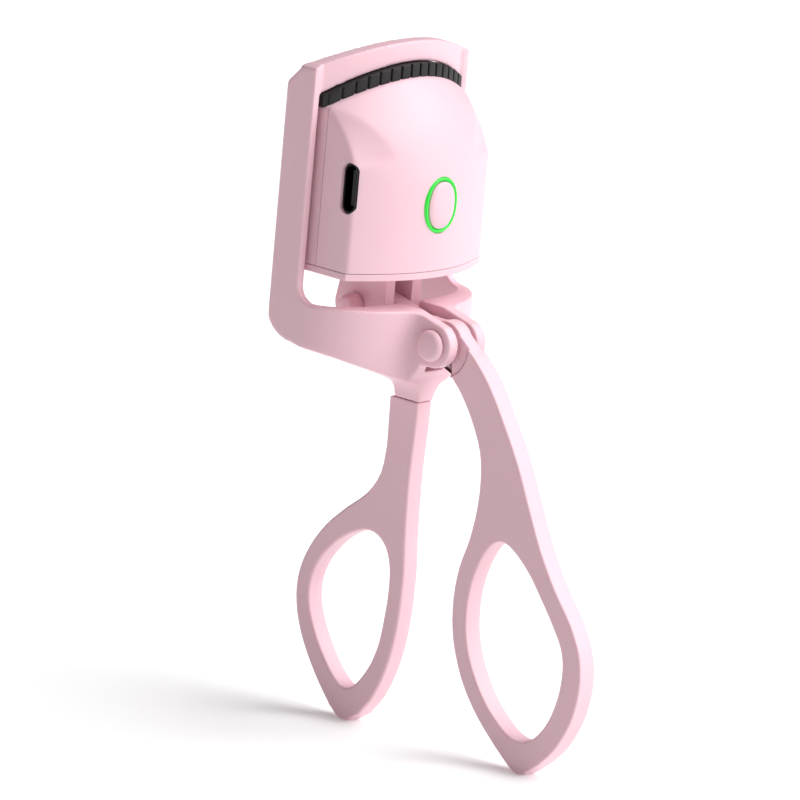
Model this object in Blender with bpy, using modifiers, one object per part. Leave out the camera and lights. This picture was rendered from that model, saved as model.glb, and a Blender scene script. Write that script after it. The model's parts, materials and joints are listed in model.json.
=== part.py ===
"""Heated eyelash curler, closed jaws: clamp frame, hinged finger handle and sliding heater head.

The hinge axis runs along X. The finger loops are in front (-Y), the clamp frame goes behind (+Y),
and both loop tips stand on Z = 0. Every size below is in millimetres, and the meshes are in metres.
"""

import math

import bmesh
import bpy
from mathutils import Matrix, Vector

MM = 0.001

# Driving dimensions
hinge_height = 70.4
plate_thickness = 3.8
pivot_play = 0.1
side_play = 0.4
seam_gap = 0.1

frame_width = 38.8
frame_wall = 1.6
rail_front = 18.9
rail_depth = 7.2
rail_foot_drop = 2.1
rail_foot_radius = 6.5
rail_top_chamfer = 3.9
rail_back_chamfer = 1.0
rail_root_radius = 3.2
ring_rise = 5.1
ring_front = 4.1
ring_centre_y = 18.5
ring_front_wall = 6.3
ear_radius = 4.0
ear_thickness = 2.4
ear_reach = 5.0
ear_root_space = 0.35
hub_front = 4.5
hub_depth = 7.0
hub_skirt_drop = 7.6
hub_foot_drop = 11.4

bar_front_centre = 14.6
bar_bulge = 5.6
bar_thickness = 2.8
bar_height = 3.6
bar_top_drop = 4.2
bar_foot_drop = 6.2

hinge_pin_radius = 1.3
hinge_head_radius = 2.75
hinge_head_height = 1.4
link_pin_radius = 1.25
link_head_radius = 2.0
link_head_height = 2.6
link_reach = 18.7
link_rise = 3.4
jaw_travel = 4.9
stop_gap = 0.4

head_side_gap = 0.8
head_wall = 1.6
head_front_centre = 4.95
head_bulge = 5.3
head_back = 23.4
head_cap_height = 1.2
head_split_y = 17.4
hood_start_rise = 16.2
hood_start_bulge = 3.5
hood_ridge_y = 13.2
hood_ridge_bulge = 4.5
hood_ridge_rise = 33.6
hood_ridge_drop = 4.5
hood_seat_depth = 3.6
hood_back_drop = 3.0
facet_corner_rise = 20.8
facet_inner_rise = 21.2
facet_upper_rise = 30.2

comb_gap = 0.35
comb_rise = 2.1
comb_thickness = 3.0
comb_side_gap = 0.4
comb_inset = 0.2
comb_tenon = 2.6
comb_tab_inset = 0.4
comb_tab_count = 3
comb_tab_space = 2.6
comb_tab_play = 0.15
element_inset = 0.9

button_rise = 12.8
ring_half_width = 3.9
ring_half_height = 4.9
ring_stroke = 0.7
ring_depth = 2.2
button_gap = 0.25
button_proud = 0.75
button_travel = 0.4
port_width = 9.0
port_depth = 3.3
port_centre_y = 11.4
port_rise = 16.0

screw_radius = 0.9
screw_boss_radius = 2.4
lower_screw_rise = 5.2
upper_screw_rise = 22.2
board_thickness = 1.0
battery_thickness = 4.4
wire_radius = 0.45

guide_width = 1.4
guide_proud = 0.5
guide_centre_y = 20.6
guide_foot_rise = 3.2
guide_top_rise = 25.2

# Sizes that follow
frame_half = frame_width / 2
frame_inner = frame_half - frame_wall
rail_back = rail_front + rail_depth
rail_foot = hinge_height - rail_foot_drop
ring_top = hinge_height + ring_rise
ring_inner_y = ring_front + ring_front_wall
hub_skirt = hinge_height - hub_skirt_drop
hub_foot = hinge_height - hub_foot_drop
plate_half = plate_thickness / 2
ear_inner = plate_half + side_play
ear_outer = ear_inner + ear_thickness
link_z = hinge_height + link_rise
lug_inner = plate_half + 0.25
lug_thickness = 2.3
lug_outer = lug_inner + lug_thickness
lug_radius = 4.9
head_half = frame_inner - head_side_gap
head_foot = ring_top + jaw_travel + stop_gap
shell_foot = head_foot + head_cap_height + seam_gap
hood_start = head_foot + hood_start_rise
hood_ridge = head_foot + hood_ridge_rise
comb_half_length = frame_inner - comb_side_gap
comb_tab_thickness = comb_thickness - 2 * comb_tab_inset
frame_top = hood_ridge + comb_rise + comb_gap + bar_height
button_z = head_foot + button_rise
button_board_y = head_front_centre + head_wall + 4.2
port_z = head_foot + port_rise
screw_x = head_half - head_wall - 2.0
board_half = screw_x - screw_boss_radius - 0.4
main_board_y = port_centre_y + port_depth / 2 + 0.35
main_board_top = head_foot + upper_screw_rise + 1.0
tenon_half = plate_half * 0.55
tenon_front = hub_front + 1.6
tenon_back = hub_front + hub_depth - 1.6

# Finger handle outlines as (y, z), drawn for this hinge height: the front one from the hinge axis
DRAWN_HEIGHT = 70.4
FRONT_OUTER = [(-7.6, -1.2), (-11.3, -4.9), (-15.2, -10.4), (-19.3, -16.9), (-22.9, -24.1),
               (-26.3, -30.7), (-30.3, -36.7), (-34.7, -42.1), (-37.4, -47.4), (-37.9, -53.0),
               (-36.6, -58.8), (-33.6, -64.2), (-30.3, -67.6)]
FRONT_TIP = [(-27.0, -70.1), (-25.2, -70.4), (-23.4, -69.6)]
FRONT_INNER = [(-20.0, -67.0), (-15.4, -62.9), (-11.6, -58.3), (-9.1, -53.5), (-7.7, -48.8),
               (-7.3, -43.4), (-8.0, -37.8), (-9.8, -32.4), (-10.9, -26.7), (-11.1, -21.7),
               (-10.4, -16.9), (-8.0, -12.0), (-5.1, -8.0), (-2.6, -5.5)]
FRONT_HOLE = [(-17.4, -31.2), (-20.2, -32.2), (-24.0, -35.2), (-27.2, -38.9), (-30.4, -42.9),
              (-32.8, -46.6), (-33.6, -50.2), (-33.1, -55.0), (-31.3, -59.8), (-28.6, -63.2),
              (-25.6, -64.6), (-22.0, -63.8), (-17.2, -60.1), (-13.4, -55.0), (-11.3, -50.0),
              (-10.7, -44.8), (-11.3, -39.8), (-13.0, -35.2), (-15.1, -32.3)]
REAR_FRONT = [(4.8, 54.5), (5.2, 46.5), (5.1, 36.6), (4.6, 28.7), (4.8, 21.7), (5.5, 16.1),
              (6.9, 10.7), (9.4, 5.3), (12.4, 1.6)]
REAR_TIP = [(14.6, 0.2), (16.0, 0.0), (17.4, 0.3)]
REAR_BACK = [(19.3, 1.9), (22.4, 5.4), (25.6, 9.8), (28.1, 14.6), (29.3, 19.6), (28.9, 24.2),
             (27.0, 28.7), (23.6, 33.3), (19.3, 37.2), (14.7, 40.9), (12.0, 45.1), (11.2, 50.2)]
REAR_HOLE = [(14.5, 34.2), (11.6, 34.0), (9.3, 32.1), (8.1, 28.9), (7.9, 24.4), (8.4, 19.4),
             (9.1, 15.2), (10.6, 11.2), (12.9, 7.8), (15.0, 6.0), (17.0, 6.0), (19.9, 8.3),
             (23.4, 12.9), (25.7, 17.6), (26.2, 21.7), (25.0, 25.6), (22.4, 29.2), (18.7, 32.3)]

SIDE = Matrix(((0, 0, 1, 0), (1, 0, 0, 0), (0, 1, 0, 0), (0, 0, 0, 1)))
FRONT = Matrix(((1, 0, 0, 0), (0, 0, -1, 0), (0, 1, 0, 0), (0, 0, 0, 1)))
PLAN = Matrix.Identity(4)


# Scene and objects
def clear_scene():
    for obj in list(bpy.data.objects):
        bpy.data.objects.remove(obj, do_unlink=True)
    for mesh in list(bpy.data.meshes):
        bpy.data.meshes.remove(mesh)


clear_scene()
curler = bpy.data.collections.new("Eyelash curler")
cutters = bpy.data.collections.new("Cutters")
bpy.context.scene.collection.children.link(curler)
bpy.context.scene.collection.children.link(cutters)
cutters.hide_render = True
finishes = {}


def finish(name, colour, roughness, metallic=0.0, glow=0.0):
    if name not in finishes:
        material = bpy.data.materials.new(name)
        material.use_nodes = True
        shader = material.node_tree.nodes["Principled BSDF"]
        shader.inputs["Base Color"].default_value = (*colour, 1.0)
        shader.inputs["Roughness"].default_value = roughness
        shader.inputs["Metallic"].default_value = metallic
        shader.inputs["Emission Color"].default_value = (*colour, 1.0)
        shader.inputs["Emission Strength"].default_value = glow
        finishes[name] = material
    return finishes[name]


def pink():
    return finish("Satin pink plastic", (0.83, 0.60, 0.64), 0.34)


def black():
    return finish("Black heat-resistant plastic", (0.02, 0.018, 0.02), 0.45)


def steel():
    return finish("Bright steel", (0.62, 0.61, 0.60), 0.25, metallic=1.0)


def green_light():
    return finish("Green light ring", (0.1, 0.8, 0.35), 0.3, glow=2.0)


def place(name, mesh, material):
    obj = bpy.data.objects.new(name, mesh)
    curler.objects.link(obj)
    mesh.materials.clear()
    mesh.materials.append(material)
    mesh.shade_smooth()
    mesh.set_sharp_from_angle(angle=math.radians(30))
    return obj


def as_cutter(obj):
    curler.objects.unlink(obj)
    cutters.objects.link(obj)
    obj.hide_render = True
    obj.display_type = "WIRE"
    return obj


def boolean(obj, other, operation="DIFFERENCE"):
    modifier = obj.modifiers.new(other.name, "BOOLEAN")
    modifier.operation = operation
    modifier.solver = "EXACT"
    modifier.object = as_cutter(other)


# Shapes
def closed_mesh(name, mesh):
    work = bmesh.new()
    work.from_mesh(mesh)
    bmesh.ops.remove_doubles(work, verts=work.verts, dist=0.00001)
    bmesh.ops.recalc_face_normals(work, faces=work.faces)
    work.to_mesh(mesh)
    work.free()
    mesh.name = name
    return mesh


def plate(name, loops, low, high, frame, material):
    """A flat outline, with any holes, between two heights along the normal of its frame."""
    curve = bpy.data.curves.new(name, "CURVE")
    curve.dimensions = "2D"
    curve.fill_mode = "BOTH"
    curve.extrude = (high - low) / 2 * MM
    for loop in loops:
        spline = curve.splines.new("POLY")
        spline.points.add(len(loop) - 1)
        for point, (x, y) in zip(spline.points, loop):
            point.co = (x * MM, y * MM, 0.0, 1.0)
        spline.use_cyclic_u = True
    guide = bpy.data.objects.new(name + " outline", curve)
    bpy.context.scene.collection.objects.link(guide)
    graph = bpy.context.evaluated_depsgraph_get()
    mesh = bpy.data.meshes.new_from_object(guide.evaluated_get(graph))
    bpy.data.objects.remove(guide, do_unlink=True)
    bpy.data.curves.remove(curve)
    mesh.transform(frame @ Matrix.Translation((0, 0, (high + low) / 2 * MM)))
    return place(name, closed_mesh(name, mesh), material)


def box(name, low, high, material):
    mesh = bpy.data.meshes.new(name)
    work = bmesh.new()
    bmesh.ops.create_cube(work, size=1.0)
    size = (Vector(high) - Vector(low)) * MM
    middle = (Vector(high) + Vector(low)) / 2 * MM
    bmesh.ops.scale(work, vec=size, verts=work.verts)
    bmesh.ops.translate(work, vec=middle, verts=work.verts)
    work.to_mesh(mesh)
    work.free()
    return place(name, mesh, material)


def turned(name, profile, centre, axis, material, steps=32):
    """A closed (radius, height) profile, listed top to bottom, turned round X or Y through a centre."""
    mesh = bpy.data.meshes.new(name)
    points = [(radius * MM, 0.0, height * MM) for radius, height in profile]
    mesh.from_pydata(points, [(k, k + 1) for k in range(len(points) - 1)], [])
    obj = place(name, mesh, material)
    screw = obj.modifiers.new("Turn", "SCREW")
    screw.steps = steps
    screw.render_steps = steps
    screw.use_merge_vertices = True
    screw.merge_threshold = 0.00001
    turn = Matrix.Rotation(math.radians(90), 4, "Y" if axis == "X" else "X")
    obj.matrix_world = Matrix.Translation(Vector(centre) * MM) @ turn
    return obj


def rod(name, radius, start, end, material, sides=20):
    """A plain round bar between two points."""
    mesh = bpy.data.meshes.new(name)
    start, end = Vector(start) * MM, Vector(end) * MM
    turn = (end - start).to_track_quat("Z", "Y").to_matrix().to_4x4()
    work = bmesh.new()
    bmesh.ops.create_cone(work, cap_ends=True, segments=sides, radius1=radius * MM,
                          radius2=radius * MM, depth=(end - start).length,
                          matrix=Matrix.Translation((start + end) / 2) @ turn)
    work.to_mesh(mesh)
    work.free()
    return place(name, mesh, material)


def loft(name, sections, material):
    """Joins rings of equal length, in millimetres, and caps both ends."""
    work = bmesh.new()
    rings = []
    for section in sections:
        rings.append([work.verts.new(Vector(point) * MM) for point in section])
    count = len(rings[0])
    for near, far in zip(rings, rings[1:]):
        for k in range(count):
            following = (k + 1) % count
            work.faces.new((near[k], near[following], far[following], far[k]))
    work.faces.new(list(reversed(rings[0])))
    work.faces.new(rings[-1])
    bmesh.ops.recalc_face_normals(work, faces=work.faces)
    mesh = bpy.data.meshes.new(name)
    work.to_mesh(mesh)
    work.free()
    return place(name, mesh, material)


def arc(centre, radius, first, last, count):
    """Points on a circle from one angle in degrees to another."""
    points = []
    for k in range(count + 1):
        angle = math.radians(first + (last - first) * k / count)
        points.append((centre[0] + radius * math.cos(angle), centre[1] + radius * math.sin(angle)))
    return points


def oval(centre, half_x, half_y, power, count):
    points = []
    for k in range(count):
        angle = 2 * math.pi * k / count
        cosine, sine = math.cos(angle), math.sin(angle)
        x = math.copysign(abs(cosine) ** (2 / power), cosine)
        y = math.copysign(abs(sine) ** (2 / power), sine)
        points.append((centre[0] + half_x * x, centre[1] + half_y * y))
    return points


def bend(start, corner, end, count):
    """A quadratic curve from start to end that leans on its corner."""
    points = []
    for k in range(count + 1):
        t = k / count
        weights = ((1 - t) ** 2, 2 * t * (1 - t), t * t)
        points.append(tuple(weights[0] * a + weights[1] * b + weights[2] * c
                            for a, b, c in zip(start, corner, end)))
    return points


def smooth(points, closed, steps=3):
    """A curve that passes through the points."""
    count = len(points)
    result = []
    last = count if closed else count - 1
    for k in range(last):
        if closed:
            a, b, c, d = (Vector(points[(k + shift) % count]) for shift in (-1, 0, 1, 2))
        else:
            a, b, c, d = (Vector(points[min(max(k + shift, 0), count - 1)]) for shift in (-1, 0, 1, 2))
        for step in range(steps):
            t = step / steps
            point = (b * 2 + (c - a) * t + (a * 2 - b * 5 + c * 4 - d) * t * t
                     + (b * 3 - a - c * 3 + d) * t ** 3) / 2
            result.append(tuple(point))
    if not closed:
        result.append(tuple(points[-1]))
    return result


def mirrored(points):
    """The points with x reversed, in the opposite order."""
    return [(-x, y) for x, y in reversed(points)]


def drawn(points):
    """A handle outline with its heights fitted to the hinge height, so that its tip stays on the floor."""
    return [(y, z * hinge_height / DRAWN_HEIGHT) for y, z in points]


# Curves that several pieces share
def bar_front(x):
    return bar_front_centre + bar_bulge * (x / frame_half) ** 2


def bar_foot(x):
    return frame_top - bar_height - bar_foot_drop * (x / frame_half) ** 2


def bar_top(x):
    return frame_top - bar_top_drop * (x / frame_half) ** 2


def head_front(x):
    return head_front_centre + head_bulge * (x / head_half) ** 2


def ridge(x):
    """The (y, z) of the head's top front edge at a distance from the middle."""
    share = (x / head_half) ** 2
    return hood_ridge_y + hood_ridge_bulge * share, hood_ridge - hood_ridge_drop * share


def spread(half, count):
    return between(-half, half, count)


def between(low, high, count):
    return [low + (high - low) * k / count for k in range(count + 1)]


def strip(front, back, half, count):
    """An outline between two curves of x."""
    stations = spread(half, count)
    return [(x, front(x)) for x in stations] + [(x, back(x)) for x in reversed(stations)]


# Clamp frame
def ring_outer():
    """The back left corner round the front to the back right one, in plan."""
    half_depth = ring_centre_y - ring_front
    neck_angle = 294.0
    quarter = []
    for k in range(23):
        angle = math.radians(360 - (360 - neck_angle) * k / 22)
        quarter.append((frame_half * math.cos(angle), ring_centre_y + half_depth * math.sin(angle)))
    neck = quarter[-1]
    root = hinge_head_radius + ear_root_space
    fillet = bend(neck, (ear_outer + 0.3, ring_front + 0.4), (ear_outer, root), 6)[1:]
    over = rail_back + 0.5
    back = [(frame_half - rail_back_chamfer - 0.5, over), (frame_half, rail_back - rail_back_chamfer)]
    right = back + quarter + fillet + [(ear_outer, -ear_reach)]
    return right + mirrored(right)


def ring_inner():
    """The front half of the opening that the head comes down into, from left to right."""
    centre_y = ring_centre_y + 0.8
    opening = oval((0.0, centre_y), frame_inner, centre_y - ring_inner_y, 2.6, 84)
    return sorted((x, y) for x, y in opening if y <= centre_y + 0.05)


def frame_plan():
    over = rail_back + 0.5
    return ring_outer() + [(-frame_inner, over)] + ring_inner() + [(frame_inner, over)]


def frame_side():
    foot_centre = (rail_back - rail_foot_radius, rail_foot + rail_foot_radius)
    root_centre = (rail_front - rail_root_radius, ring_top + rail_root_radius)
    over = frame_top + 1.0
    corner = bar_top(frame_half)
    return (arc(root_centre, rail_root_radius, -90, 0, 6)
            + [(rail_front, over), (rail_back - rail_top_chamfer, over),
               (rail_back - rail_top_chamfer, corner), (rail_back, corner - rail_top_chamfer)]
            + arc(foot_centre, rail_foot_radius, 0, -90, 8)
            + [(hub_front + hub_depth + 0.6, rail_foot - 1.6), (hub_front + hub_depth, hub_foot),
               (hub_front + 0.1, hub_foot), (4.0, hub_skirt + 0.8), (2.4, hinge_height - ear_radius)]
            + arc((0.0, hinge_height), ear_radius, -90, -240, 14)
            + [(ear_radius + 0.6, ring_top)])


def frame_elevation():
    half = frame_half + 1.0
    crown = [(x, bar_top(x) + 0.1) for x in spread(half, 24)]
    funnel = bend((ear_outer, hub_skirt - 0.2), (plate_half + 0.2, hub_skirt - 0.8),
                  (plate_half, hub_foot), 6)
    right = [(half, rail_foot), (ear_outer + 0.2, hub_skirt)] + funnel
    return crown + right + mirrored(right)


def clamp_frame():
    frame = plate("clamp_frame", [frame_side()], -frame_half - 1, frame_half + 1, SIDE, pink())
    plan = plate("frame plan", [frame_plan()], hub_foot - 5, frame_top + 5, PLAN, pink())
    boolean(frame, plan, "INTERSECT")
    elevation = plate("frame elevation", [frame_elevation()], -rail_back - 5, ear_reach + 5, FRONT, pink())
    boolean(frame, elevation, "INTERSECT")
    over = frame_half - 0.4
    bar = plate("jaw bar", [strip(bar_front, lambda x: bar_front(x) + bar_thickness, over, 20)],
                head_foot, frame_top + 5, PLAN, pink())
    boolean(bar, plate("jaw bar face", [strip(bar_foot, bar_top, frame_half + 1, 24)], -30.0, 0.0,
                       FRONT, pink()), "INTERSECT")
    boolean(frame, bar, "UNION")
    gap_floor = hinge_height - ear_radius - 1.6
    boolean(frame, box("tongue gap", (-ear_inner, -ear_reach - 1, gap_floor),
                       (ear_inner, ring_inner_y + 4, ring_top + 1), pink()))
    boolean(frame, rod("hinge bore", hinge_pin_radius + pivot_play, (-ear_outer - 1, 0, hinge_height),
                       (ear_outer + 1, 0, hinge_height), pink(), 24))
    boolean(frame, box("tenon socket", (-tenon_half - 0.1, tenon_front - 0.1, hub_foot - 1),
                       (tenon_half + 0.1, tenon_back + 0.1, hub_foot + 3.6), pink()))
    return frame


# Handles
def rear_handle():
    top = hub_foot - seam_gap
    outline = ([(hub_front + 0.2, top)] + smooth(drawn(REAR_FRONT), False) + smooth(drawn(REAR_TIP), False)
               + smooth(drawn(REAR_BACK), False) + [(hub_front + hub_depth - 0.1, top)])
    loops = [outline, smooth(drawn(REAR_HOLE), True)]
    handle = plate("rear_handle", loops, -plate_half, plate_half, SIDE, pink())
    boolean(handle, box("handle tenon", (-tenon_half, tenon_front, top - 2),
                        (tenon_half, tenon_back, hub_foot + 3.3), pink()), "UNION")
    return handle


def lever_outline():
    """Tongue, loop and lever arm, as (y, z) from the hinge axis, counter-clockwise."""
    slope = math.degrees(math.atan2(link_rise, link_reach))
    reach = math.hypot(link_reach, link_rise)
    eye = link_pin_radius + pivot_play + 1.8
    along = Vector((math.cos(math.radians(slope)), math.sin(math.radians(slope))))
    across = Vector((-along.y, along.x))
    end = along * reach
    root = along * (ear_radius + 3.0)
    arm = [tuple(root - across * 2.5)] + arc(tuple(end), eye, slope - 90, slope + 90, 12)
    arm += [tuple(root + across * 2.2)]
    tongue = arc((0.0, 0.0), ear_radius, 62, 150, 8)
    outer = smooth(drawn(FRONT_OUTER), False)
    inner = smooth(drawn(FRONT_INNER), False)
    under = bend(inner[-1], (-0.6, -ear_radius + 0.2), (3.2, -3.1), 4)[1:]
    return arm + tongue + outer + smooth(drawn(FRONT_TIP), False) + inner + under


def pin_slot():
    """A slot along the lever arm, long enough for the pin's change of reach."""
    slope = math.degrees(math.atan2(link_rise, link_reach))
    along = Vector((math.cos(math.radians(slope)), math.sin(math.radians(slope))))
    radius = link_pin_radius + pivot_play
    near = along * (link_reach - 0.1)
    far = along * (math.hypot(link_reach, link_rise) + 0.1)
    return (arc(tuple(far), radius, slope - 90, slope + 90, 10)
            + arc(tuple(near), radius, slope + 90, slope + 270, 10))


def front_handle():
    bore = arc((0.0, 0.0), hinge_pin_radius + pivot_play, 0, 345, 23)
    loops = [lever_outline(), smooth(drawn(FRONT_HOLE), True), bore, pin_slot()]
    handle = plate("front_handle", loops, -plate_half, plate_half, SIDE, pink())
    handle.location.z = hinge_height * MM
    return handle


# Pins
def pin(name, centre_y, centre_z, radius, head_radius, head_height, face, material):
    """A shouldered pin whose head stands on the left face; its plain end carries a cap on the right."""
    left = face + seam_gap
    end = face + seam_gap + head_height * 0.4
    profile = [(0.0, end), (radius, end), (radius, -left), (head_radius, -left),
               (head_radius, -left - head_height * 0.45), (head_radius * 0.94, -left - head_height * 0.72),
               (head_radius * 0.8, -left - head_height * 0.92), (head_radius * 0.66, -left - head_height),
               (0.0, -left - head_height)]
    return turned(name, profile, (0.0, centre_y, centre_z), "X", material)


def pin_cap(name, centre_y, centre_z, radius, head_radius, head_height, face, material):
    low = face + seam_gap
    top = low + head_height
    bore_end = low + head_height * 0.55
    profile = [(0.0, top), (head_radius * 0.66, top), (head_radius * 0.8, top - head_height * 0.08),
               (head_radius * 0.94, top - head_height * 0.28), (head_radius, top - head_height * 0.55),
               (head_radius, low), (radius + seam_gap, low), (radius + seam_gap, bore_end), (0.0, bore_end)]
    return turned(name, profile, (0.0, centre_y, centre_z), "X", material)


# Head
def hood_section(x, inset, foot):
    """The head's cross-section at x, moved inwards by an inset."""
    front = head_front(x) + inset
    share = (x / head_half) ** 2
    start = hood_start + hood_start_bulge * share
    ridge_y, ridge_z = ridge(x)
    ridge_y += inset * 0.55
    ridge_z -= inset
    back = head_back - inset
    corner = (front + 0.4, start + (ridge_z - start) * 0.62)
    hood = bend((front, start), corner, (ridge_y, ridge_z), 12)
    seat = ridge_y + hood_seat_depth
    return ([(x, front, foot)] + [(x, y, z) for y, z in hood]
            + [(x, seat, ridge_z), (x, back, ridge_z - hood_back_drop), (x, back, foot)])


def head_solid(name, inset, foot, material):
    """The head's outer form, or with an inset the space inside its walls."""
    solid = loft(name, [hood_section(x, inset, foot) for x in spread(head_half - inset, 32)], material)
    for side in (-1, 1):
        boolean(solid, facet_cutter(side, inset))
    return solid


def facet_cutter(side, inset):
    """A block whose lower face shaves one upper front corner of the head."""
    inner_x = head_half * 0.68
    corner = Vector((side * head_half, head_front(head_half) + 0.5, head_foot + facet_corner_rise))
    inner = Vector((side * inner_x, head_front(inner_x) + 0.4, head_foot + facet_inner_rise))
    upper = Vector((side * (head_half - 0.4), ridge(head_half)[0] + 0.6, head_foot + facet_upper_rise))
    normal = (inner - corner).cross(upper - corner).normalized()
    if normal.z < 0:
        normal = -normal
    block = box("head facet", (-12, -12, 0), (12, 12, 10), pink())
    turn = normal.to_track_quat("Z", "Y").to_matrix().to_4x4()
    middle = (corner + inner + upper) / 3 - normal * inset
    block.matrix_world = Matrix.Translation(middle * MM) @ turn
    return block


def comb_strip(name, inset, foot, top, thickness, ends, material, steps=20):
    """An arched strip between two x positions that follows the jaw bar in plan and in height."""
    sections = []
    for x in between(*ends, steps):
        front = ridge(x)[0] + inset
        sections.append([(x, front, foot(x)), (x, front, top(x)), (x, front + thickness, top(x)),
                         (x, front + thickness, foot(x))])
    return loft(name, sections, material)


def comb_tabs():
    """The (low, high) x of the tabs that hold the comb in the head."""
    pitch = 2 * (head_half - head_wall - 0.6) / comb_tab_count
    half = pitch / 2 - comb_tab_space / 2
    middles = [(k - (comb_tab_count - 1) / 2) * pitch for k in range(comb_tab_count)]
    return [(middle - half, middle + half) for middle in middles]


def shell_boxes(name, low_y, high_y):
    return box(name, (-head_half - 1, low_y, head_foot - 1), (head_half + 1, high_y, frame_top + 4), pink())


def screw_places():
    heights = (head_foot + lower_screw_rise, head_foot + upper_screw_rise)
    return [(side * screw_x, z) for side in (-1, 1) for z in heights]


def head_shell(name, low_y, high_y):
    shell = head_solid(name, 0.0, shell_foot, pink())
    boolean(shell, head_solid(name + " hollow", head_wall, shell_foot - 1, pink()))
    boolean(shell, shell_boxes(name + " half", low_y, high_y), "INTERSECT")
    for low, high in comb_tabs():
        ends = (low - comb_tab_play, high + comb_tab_play)
        boolean(shell, comb_strip("comb window", comb_inset + comb_tab_inset - comb_tab_play,
                                  lambda x: ridge(x)[1] - 6, lambda x: ridge(x)[1] + 3,
                                  comb_tab_thickness + 2 * comb_tab_play, ends, pink(), 6))
    return shell


def head_front_shell():
    shell = head_shell("head_front_shell", 0.0, head_split_y - seam_gap / 2)
    for x, z in screw_places():
        boolean(shell, rod("screw boss", screw_boss_radius, (x, head_split_y - 3.4, z),
                           (x, head_split_y - seam_gap / 2, z), pink(), 16), "UNION")
        boolean(shell, rod("screw pilot", screw_radius + 0.1, (x, head_split_y - 2.6, z),
                           (x, head_split_y + 1, z), pink(), 12))
    opening = oval((0.0, button_z), ring_half_width + 0.15, ring_half_height + 0.15, 2.2, 36)
    boolean(shell, plate("button opening", [opening], -9.0, -3.0, FRONT, pink()))
    port = rounded_slot(port_centre_y, port_z, port_depth, port_width)
    boolean(shell, plate("port opening", [port], -head_half - 2, -head_half + 5, SIDE, pink()))
    return shell


def rounded_slot(centre_y, centre_z, depth, width):
    radius = depth / 2
    rise = width / 2 - radius
    return (arc((centre_y, centre_z + rise), radius, 0, 180, 10)
            + arc((centre_y, centre_z - rise), radius, 180, 360, 10))


def head_rear_shell():
    shell = head_shell("head_rear_shell", head_split_y + seam_gap / 2, head_back + 1)
    for x, z in screw_places():
        boolean(shell, rod("screw hole", screw_radius + 0.4, (x, head_split_y - 1, z), (x, head_back + 1, z),
                           pink(), 12))
        boolean(shell, rod("screw recess", 2.2, (x, head_back - 0.9, z), (x, head_back + 1, z), pink(), 16))
    for side in (-1, 1):
        inner = side * (head_half - 0.5)
        outer = side * (head_half + guide_proud)
        low = (min(inner, outer), guide_centre_y - guide_width / 2, head_foot + guide_foot_rise)
        high = (max(inner, outer), guide_centre_y + guide_width / 2, head_foot + guide_top_rise)
        boolean(shell, box("guide rib", low, high, pink()), "UNION")
    return shell


def head_base_cap():
    low = head_foot
    top = head_foot + head_cap_height
    outline = strip(head_front, lambda x: head_back, head_half, 20)
    cap = plate("head_base_cap", [outline], low, top, PLAN, pink())
    inner = strip(lambda x: head_front(x) + head_wall + 0.2, lambda x: head_back - head_wall - 0.2,
                  head_half - head_wall - 0.2, 12)
    boolean(cap, plate("cap lip", [inner], top - 0.6, top + 1.4, PLAN, pink()), "UNION")
    lug = ([(link_reach - 6.7, low + 0.5), (link_reach - 6.8, link_z)]
           + arc((link_reach - 1.9, link_z), lug_radius, 180, 270, 8)[1:]
           + arc((link_reach, link_z), lug_radius, 270, 360, 8)
           + [(link_reach + 3.4, low + 0.5)])
    for side in (-1, 1):
        near, far = sorted((side * lug_inner, side * lug_outer))
        boolean(cap, plate("link lug", [lug], near, far, SIDE, pink()), "UNION")
    boolean(cap, rod("link bore", link_pin_radius + pivot_play, (-lug_outer - 1, link_reach, link_z),
                     (lug_outer + 1, link_reach, link_z), pink(), 24))
    return cap


# Controls and electronics
def power_button():
    front = head_front_centre - button_proud
    half_x = ring_half_width - ring_stroke - button_gap
    half_z = ring_half_height - ring_stroke - button_gap
    outline = oval((0.0, button_z), half_x, half_z, 2.2, 32)
    button = plate("power_button", [outline], -front - 1.8, -front, FRONT, pink())
    stem = rod("button stem", 1.1, (0, front + 1.2, button_z),
               (0, button_board_y - 1.9 - button_travel, button_z), pink(), 16)
    boolean(button, stem, "UNION")
    return button


def light_ring():
    outer = oval((0.0, button_z), ring_half_width, ring_half_height, 2.2, 36)
    inner = oval((0.0, button_z), ring_half_width - ring_stroke, ring_half_height - ring_stroke, 2.2, 36)
    front = head_front_centre - 0.25
    return plate("light_ring", [outer, inner], -front - ring_depth, -front, FRONT, green_light())


def electronics():
    green = finish("Green circuit board", (0.02, 0.18, 0.07), 0.4)
    near = button_board_y
    box("button_board", (-5.5, near, button_z - 6.0), (5.5, near + 0.9, button_z + 6.0), green)
    box("tact_switch", (-2.2, near - 1.7, button_z - 2.2), (2.2, near - 0.1, button_z + 2.2), black())
    for name, z in (("led_upper", button_z + 4.3), ("led_lower", button_z - 4.3)):
        box(name, (-0.8, near - 0.9, z - 0.5), (0.8, near - 0.1, z + 0.5), green_light())
    box("main_board", (-board_half, main_board_y, head_foot + 3.6),
        (board_half, main_board_y + board_thickness, main_board_top), green)
    cell_y = main_board_y + board_thickness + 0.5
    box("battery", (0.4 - board_half, cell_y, head_foot + 4.0),
        (board_half - 0.4, cell_y + battery_thickness, main_board_top - 1.0),
        finish("Silver cell wrap", (0.55, 0.56, 0.58), 0.35, metallic=0.6))


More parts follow.
